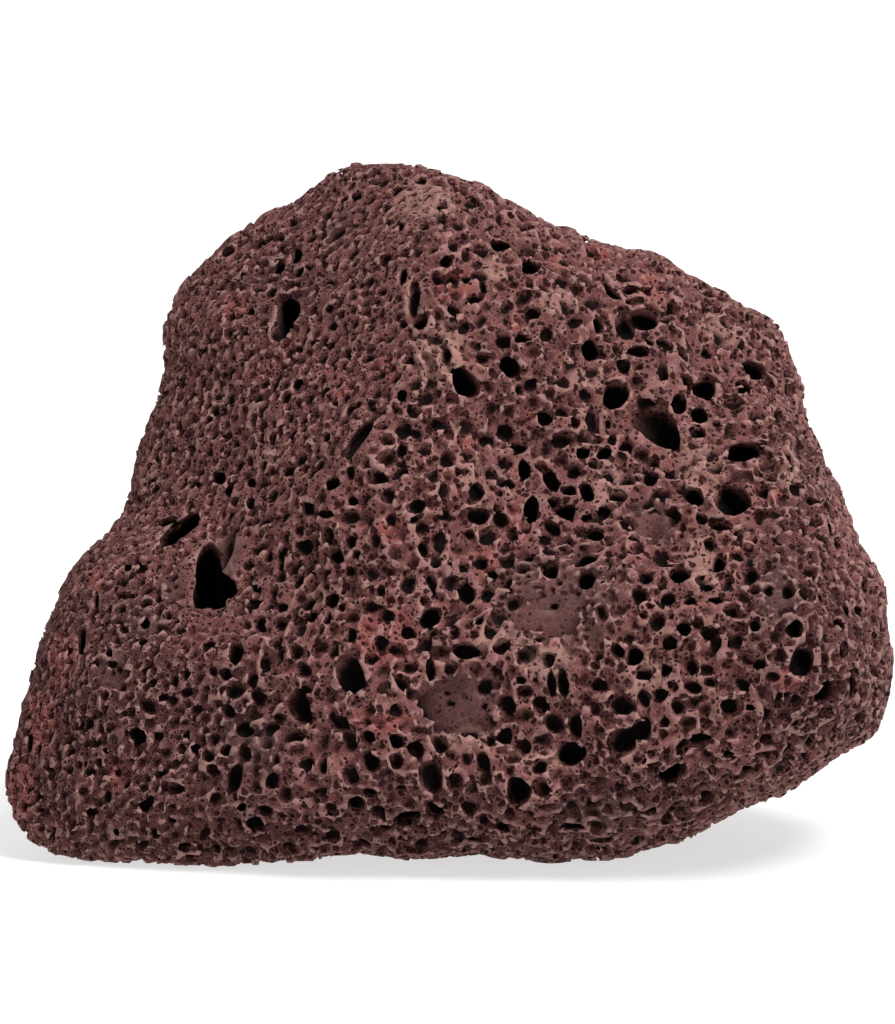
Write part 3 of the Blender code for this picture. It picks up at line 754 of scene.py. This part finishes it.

# %% [markdown]
# ## Rust, bloom and grey
#
# The stone isn't one brown. Iron has rusted brick red in rough patches, some walls have a pale
# pink bloom, and a few broad bubbles are lined with smooth grey glass. At the foot, down the right
# side and in the dents the stone is painted darker, as painted shade.
# The places are read from the photograph: column, row, width and height in pixels. Each point of
# the mesh keeps how far it is inside such a patch, and the material frays the edge with noise.

# %% Patches
RUST_PATCHES = (
    (385, 635, 60, 54), (515, 530, 16, 44), (484, 560, 24, 34), (452, 284, 38, 32), (790, 680, 20, 26),
    (518, 325, 16, 18), (390, 368, 26, 24), (345, 388, 20, 26), (392, 530, 28, 30), (62, 660, 34, 60),
    (652, 285, 28, 36), (600, 253, 34, 20), (235, 305, 24, 22), (775, 495, 18, 16), (735, 552, 14, 14),
    (275, 483, 16, 10), (531, 415, 14, 12), (97, 579, 22, 24), (122, 777, 26, 24), (40, 720, 30, 60),
    (20, 790, 30, 60), (560, 262, 24, 18), (380, 720, 60, 26), (550, 640, 20, 16), (470, 440, 24, 18),
)
BLOOM_PATCHES = (
    (608, 490, 34, 56), (472, 475, 20, 34), (425, 200, 60, 36), (444, 203, 24, 26), (440, 355, 50, 60),
    (270, 458, 26, 20), (220, 395, 24, 26), (560, 300, 40, 26), (725, 330, 40, 30), (495, 268, 30, 24),
    (545, 660, 50, 40), (700, 470, 40, 60), (790, 470, 24, 60), (540, 760, 60, 20),
    (650, 680, 50, 30), (585, 380, 40, 20), (500, 640, 50, 24), (700, 560, 30, 60), (470, 740, 40, 30),
)
GREY_PATCHES = (
    (250, 740, 60, 50), (456, 704, 80, 66), (602, 812, 110, 30), (780, 592, 44, 60), (113, 667, 34, 36),
    (775, 525, 24, 20), (560, 600, 120, 108), (650, 520, 46, 52), (340, 230, 34, 40), (172, 590, 28, 24),
    (225, 555, 30, 60), (145, 620, 40, 30),
)
# Painted shade: darker patches at the foot, down the right side and in the dents.
PAINTED_SHADE_PATCHES = (
    (95, 720, 190, 250), (240, 842, 300, 44), (520, 845, 260, 36), (285, 290, 70, 90), (800, 640, 110, 200),
    (870, 690, 60, 160), (420, 800, 160, 70), (650, 800, 160, 60), (230, 740, 120, 160), (800, 470, 70, 120),
)
PATCH_REACH = 1.6


def patch_shares(patches):
    """For each point of the mesh, how far inside the nearest patch it is: 1 at the middle, 0 outside."""
    share = np.zeros(len(corners))
    for column, row, wide, high in patches:
        sight = line_of_sight(column, row)
        at, _, _, _ = surface.ray_cast(EYE, sight)
        if at is None:
            print("No stone at", column, row)
            continue
        reach = corners - np.array(at)
        across = reach @ np.array(RIGHT) / (wide / PIXELS_PER_MM / 2)
        up = reach @ np.array(UPWARD) / (high / PIXELS_PER_MM / 2)
        away = reach @ np.array(SIGHT) / (max(wide, high) / PIXELS_PER_MM)
        share = np.maximum(share, PATCH_REACH - np.sqrt(across**2 + up**2 + away**2))
    return np.clip(share, 0, 1)


keep_values("rust", patch_shares(RUST_PATCHES))
keep_values("bloom", patch_shares(BLOOM_PATCHES))
keep_values("grey", patch_shares(GREY_PATCHES))
keep_values("painted_shade", patch_shares(PAINTED_SHADE_PATCHES))

# %% [markdown]
# ## The material: scoria, broken and dusty
#
# Scoria is glassy basalt frothed up and rusted through, then broken. Glass of this kind bends
# light by about 1.55, but here every wall is crumbled and dusty, so it scatters nearly all of it:
# the roughness is 0.9 and the specular level low, and the eye sees no shine at all. The colour is
# a mauve brown that wanders from wall to wall. Pits of a millimetre and less are drawn here, as
# Voronoi cells: near each cell's middle the surface is dented and painted dark, as painted shade,
# and each cell draws its own radius and depth, so pinholes of every size appear. Three sizes of
# cells and a fine grain are enough: the widest only where the foam is coarse, and the smallest only
# where it is fine.


# %% Colours and nodes
def linear(text):
    """A hex sRGB colour as the linear values that Blender's sockets take."""
    parts = [int(text[i : i + 2], 16) / 255 for i in (1, 3, 5)]
    return [p / 12.92 if p <= 0.04045 else ((p + 0.055) / 1.055) ** 2.4 for p in parts] + [1]


def add(tree, kind, inputs=None, **settings):
    """Adds a node with its settings, and links or fills its inputs."""
    node = tree.nodes.new(kind)
    for name, value in settings.items():
        setattr(node, name, value)
    for socket, value in (inputs or {}).items():
        if isinstance(value, bpy.types.NodeSocket):
            tree.links.new(value, node.inputs[socket])
        else:
            node.inputs[socket].default_value = value
    return node


MIX_FACTOR, MIX_A, MIX_B, MIX_RESULT = 0, 6, 7, 2
scoria = bpy.data.materials.new("broken_scoria")
scoria.use_nodes = True
tree = scoria.node_tree
tree.nodes.clear()
print("Started", scoria.name)

# %% Places in millimetres, a little bent
place = add(tree, "ShaderNodeTexCoord").outputs["Object"]
mm = add(tree, "ShaderNodeVectorMath", {0: place, "Scale": 1 / MM}, operation="SCALE").outputs[0]
DRIFT_SIZE = 2.0
DRIFT_FAR = 1.2
drift = add(
    tree, "ShaderNodeTexNoise", {"Vector": mm, "Scale": 1 / DRIFT_SIZE, "Detail": 1.0}
).outputs["Color"]
drift = add(tree, "ShaderNodeVectorMath", {0: drift, 1: (0.5, 0.5, 0.5)}, operation="SUBTRACT").outputs[0]
drift = add(tree, "ShaderNodeVectorMath", {0: drift, "Scale": DRIFT_FAR}, operation="SCALE").outputs[0]
bent = add(tree, "ShaderNodeVectorMath", {0: mm, 1: drift}, operation="ADD").outputs[0]
print("Patterns drift over", DRIFT_SIZE, "mm, so that no pit is quite round")

# %% Foam too fine to carve
STORED = ("coarse", "grey", "bloom", "rust", "painted_shade", "rim_rock", "near_rock", "wide_rock", "below_skin")
coarse, grey, bloom, rust, painted_shade, rim_rock, near_rock, wide_rock, below_skin = (
    add(tree, "ShaderNodeAttribute", attribute_name=name).outputs["Fac"] for name in STORED
)
fine = add(tree, "ShaderNodeMath", {0: 1.0, 1: coarse}, operation="SUBTRACT").outputs[0]
print(len(STORED), "numbers are read from the mesh")

# %% Pits
# Each line is a cell's size and a pit's depth in mm, and where such pits are. The spans are
# distances inside a pit's edge, as shares of a cell: the slope of the pit, and the rim's two sides.
PITS = ((1.5, 0.32, coarse), (0.85, 0.21, 1.0), (0.52, 0.11, fine))
LEAST_RADIUS = 0.20
MOST_RADIUS = 0.58
SHALLOWEST = 0.30
SPANS = ((-0.04, 0.30), (-0.10, -0.02), (0.0, 0.08))
SMOOTH_GREY = 0.5
rough = add(tree, "ShaderNodeMapRange", {"Value": grey, "To Min": 1.0, "To Max": SMOOTH_GREY}).outputs[0]
# holes is where the pits get their painted shade, and rims where their worn pale rims go.
height, holes, rims = 0.0, 0.0, 0.0
for size, deep, where in PITS:
    cells = add(tree, "ShaderNodeTexVoronoi", {"Vector": bent, "Scale": 1 / size}).outputs
    chance = add(tree, "ShaderNodeSeparateColor", {0: cells["Color"]}).outputs
    radius = {"Value": chance[0], "To Min": LEAST_RADIUS, "To Max": MOST_RADIUS}
    radius = add(tree, "ShaderNodeMapRange", radius).outputs[0]
    inside = add(tree, "ShaderNodeMath", {0: radius, 1: cells["Distance"]}, operation="SUBTRACT").outputs[0]
    here = add(tree, "ShaderNodeMath", {0: where, 1: rough}, operation="MULTIPLY").outputs[0]
    depth = add(tree, "ShaderNodeMapRange", {"Value": chance[1], "To Min": SHALLOWEST}).outputs[0]
    depth = add(tree, "ShaderNodeMath", {0: depth, 1: here}, operation="MULTIPLY").outputs[0]
    shares = []
    for least, most in SPANS:
        shares.append(
            add(
                tree,
                "ShaderNodeMapRange",
                {"Value": inside, "From Min": least, "From Max": most},
                interpolation_type="SMOOTHSTEP",
            ).outputs[0]
        )
    hole = add(tree, "ShaderNodeMath", {0: shares[0], 1: depth}, operation="MULTIPLY").outputs[0]
    rim = add(tree, "ShaderNodeMath", {0: shares[1], 1: shares[2]}, operation="SUBTRACT").outputs[0]
    rim = add(tree, "ShaderNodeMath", {0: rim, 1: here}, operation="MULTIPLY").outputs[0]
    height = add(tree, "ShaderNodeMath", {0: hole, 1: -deep, 2: height}, operation="MULTIPLY_ADD").outputs[0]
    holes = add(tree, "ShaderNodeMath", {0: hole, 1: holes}, operation="MAXIMUM").outputs[0]
    rims = add(tree, "ShaderNodeMath", {0: rim, 1: rims}, operation="MAXIMUM").outputs[0]
print("Pits every", [size for size, _, _ in PITS], "mm")

# %% Grain
GRAIN = 0.35
GRAIN_HIGH = 0.06
grain = add(
    tree, "ShaderNodeTexNoise", {"Vector": mm, "Scale": 1 / GRAIN, "Detail": 2.0, "Roughness": 0.65}
).outputs["Fac"]
height = add(
    tree, "ShaderNodeMath", {0: grain, 1: GRAIN_HIGH, 2: height}, operation="MULTIPLY_ADD"
).outputs[0]
bump = add(tree, "ShaderNodeBump", {"Height": height, "Strength": 1.0, "Distance": MM}).outputs[0]
print("Grain of", GRAIN, "mm,", GRAIN_HIGH, "mm high")

# %% The brown of the walls
WALL_DARK = "#4A2829"
WALL_LIGHT = "#7E4F4B"
TONE_SIZE = 4.0
tone = add(
    tree, "ShaderNodeTexNoise", {"Vector": mm, "Scale": 1 / TONE_SIZE, "Detail": 5.0, "Roughness": 0.75}
).outputs["Fac"]
tone = add(tree, "ShaderNodeMapRange", {"Value": tone, "From Min": 0.35, "From Max": 0.65}).outputs[0]
colour = add(
    tree,
    "ShaderNodeMix",
    {MIX_FACTOR: tone, MIX_A: linear(WALL_DARK), MIX_B: linear(WALL_LIGHT)},
    data_type="RGBA",
).outputs[MIX_RESULT]
print("Walls from", WALL_DARK, "to", WALL_LIGHT)

# %% [markdown]
# ## Layers over the brown
#
# The patches, pale rims and dark depths lie over the walls' colour one after the other, like thin
# coats of paint. The darker brown of the fine foam, the dark patches, the dark dents and the dark
# depths are painted shade. Each line says which number steers the layer, where it begins and where
# it is full, how much it covers then, and its colour. The depths come last, because nothing is
# pale down there.

# %% Layers of colour
FRAY_SIZE = 0.9
fray = add(
    tree, "ShaderNodeTexNoise", {"Vector": mm, "Scale": 1 / FRAY_SIZE, "Detail": 4.0, "Roughness": 0.8}
).outputs["Fac"]
frayed = {}
for name, share in (("grey", grey), ("bloom", bloom), ("rust", rust), ("painted_shade", painted_shade)):
    frayed[name] = add(tree, "ShaderNodeMath", {0: share, 1: fray}, operation="ADD").outputs[0]
LAYERS = (
    # painted shade: a darker brown where the foam is fine, for the shade in its dense pits and on the stone's
    # left
    (fine, 0.0, 1.0, 0.30, "#421C20"),
    # painted shade in the patches at the foot, down the right side and in the dents
    (frayed["painted_shade"], 0.70, 1.30, 0.60, "#36191C"),
    (frayed["grey"], 0.85, 1.25, 0.45, "#4A3838"),
    (frayed["bloom"], 0.85, 1.25, 0.55, "#A27A70"),
    (frayed["rust"], 0.82, 1.28, 0.56, "#894742"),
    # painted shade: darker where the surface is hollow over a few millimetres, so ridges stand out lighter
    (wide_rock, 0.48, 0.58, 0.50, "#331618"),
    (rims, 0.0, 1.0, 0.22, "#AE867F"),
    (rim_rock, 0.44, 0.24, 0.64, "#AE867F"),
    # painted shade inside the pits that the material draws
    (holes, 0.0, 0.60, 0.94, "#240909"),
    # painted shade in the carved holes: maroon where a hole closes in, black where it runs deep
    (near_rock, 0.54, 0.71, 0.86, "#301010"),
    (wide_rock, 0.565, 0.68, 0.94, "#0A0202"),
    (below_skin, 1.8, 5.8, 0.94, "#060101"),
)
for value, start, end, most, tint in LAYERS:
    share = add(
        tree,
        "ShaderNodeMapRange",
        {"Value": value, "From Min": start, "From Max": end, "To Max": most},
        interpolation_type="SMOOTHSTEP",
    ).outputs[0]
    colour = add(
        tree, "ShaderNodeMix", {MIX_FACTOR: share, MIX_A: colour, MIX_B: linear(tint)}, data_type="RGBA"
    ).outputs[MIX_RESULT]
print(len(LAYERS), "layers over the walls")

# %% The shader itself
surface_shader = add(
    tree,
    "ShaderNodeBsdfPrincipled",
    {"Base Color": colour, "Roughness": 0.9, "Specular IOR Level": 0.12, "IOR": 1.55, "Normal": bump},
)
add(tree, "ShaderNodeOutputMaterial", {0: surface_shader.outputs[0]})
rock.data.materials.clear()
rock.data.materials.append(scoria)
print(len(tree.nodes), "nodes in", scoria.name)

# %% [markdown]
# ## Floor and light
#
# The stone stood on white under soft studio light: a broad lamp above and to the right gives the
# holes their black roofs and lit lower lips, and the left face falls into shade. The floor is
# white paper that glows a little by itself, since a floor lit only by the lamp would look grey.

# %% The floor
FLOOR_HALF = 2.5
FLOOR_BELOW = 0.0001
PAPER_GLOW = 0.65
floor_mesh = bpy.data.meshes.new("floor")
floor_mesh.from_pydata(
    [(x * FLOOR_HALF, y * FLOOR_HALF, 0) for x, y in ((-1, -1), (1, -1), (1, 1), (-1, 1))], [], [(0, 1, 2, 3)]
)
floor = bpy.data.objects.new("floor", floor_mesh)
bpy.context.scene.collection.objects.link(floor)
floor.location.z = -FLOOR_BELOW
paper = bpy.data.materials.new("white_paper")
paper.use_nodes = True
paper_inputs = paper.node_tree.nodes["Principled BSDF"].inputs
paper_inputs["Base Color"].default_value = linear("#A8A8A8")
paper_inputs["Roughness"].default_value = 0.8
paper_inputs["Emission Color"].default_value = (1, 1, 1, 1)
paper_inputs["Emission Strength"].default_value = PAPER_GLOW
floor_mesh.materials.append(paper)
print("A floor of", 2 * FLOOR_HALF, "m a side")

# %% Lamps
SUN_RIGHT = math.radians(44)
SUN_HIGH = math.radians(55)
SUN_SOFT = math.radians(22)
KEY_STRENGTH = 3.25
SKY_STRENGTH = 0.48
towards = Vector(
    (math.cos(SUN_HIGH) * math.sin(SUN_RIGHT), -math.cos(SUN_HIGH) * math.cos(SUN_RIGHT), math.sin(SUN_HIGH))
)
key = bpy.data.lights.new("key", "SUN")
key.energy = KEY_STRENGTH
key.angle = SUN_SOFT
key_holder = bpy.data.objects.new("key", key)
key_holder.rotation_euler = towards.to_track_quat("Z", "Y").to_euler()
bpy.context.scene.collection.objects.link(key_holder)

world = bpy.data.worlds.new("studio")
bpy.context.scene.world = world
world.use_nodes = True
sky_inputs = world.node_tree.nodes["Background"].inputs
sky_inputs["Color"].default_value = (1, 1, 1, 1)
sky_inputs["Strength"].default_value = SKY_STRENGTH
bpy.context.scene.view_settings.view_transform = "Standard"
print("Lamp", round(math.degrees(SUN_HIGH)), "degrees up and", round(math.degrees(SUN_RIGHT)), "to the right")

# %% Done
bpy.context.view_layer.update()
